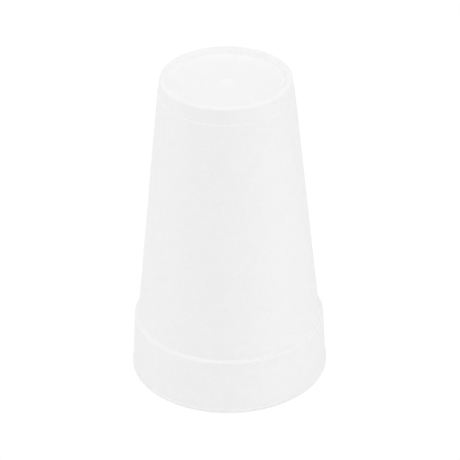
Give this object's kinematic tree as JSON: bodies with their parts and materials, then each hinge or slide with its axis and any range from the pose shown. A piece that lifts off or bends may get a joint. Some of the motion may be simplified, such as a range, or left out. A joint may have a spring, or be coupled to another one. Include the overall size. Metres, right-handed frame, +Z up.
{
  "type": "foam cup",
  "caption": "Tall tapered disposable drinking cup of moulded white foam, with a lip, a wide stacking band and a hollow base, standing mouth down.",
  "frame": {"origin": "centre of the plane of the mouth, which the cup stands on", "axes": "+Z up along the cup's axis, from the mouth to the foot; +X and +Y lie in the plane of the mouth and are alike"},
  "size_m": [0.094, 0.094, 0.1553],
  "materials": {
    "foam": "matt moulded bead foam"
  },
  "bodies": {
    "root": {"cup": "foam"}
  },
  "joints": []
}
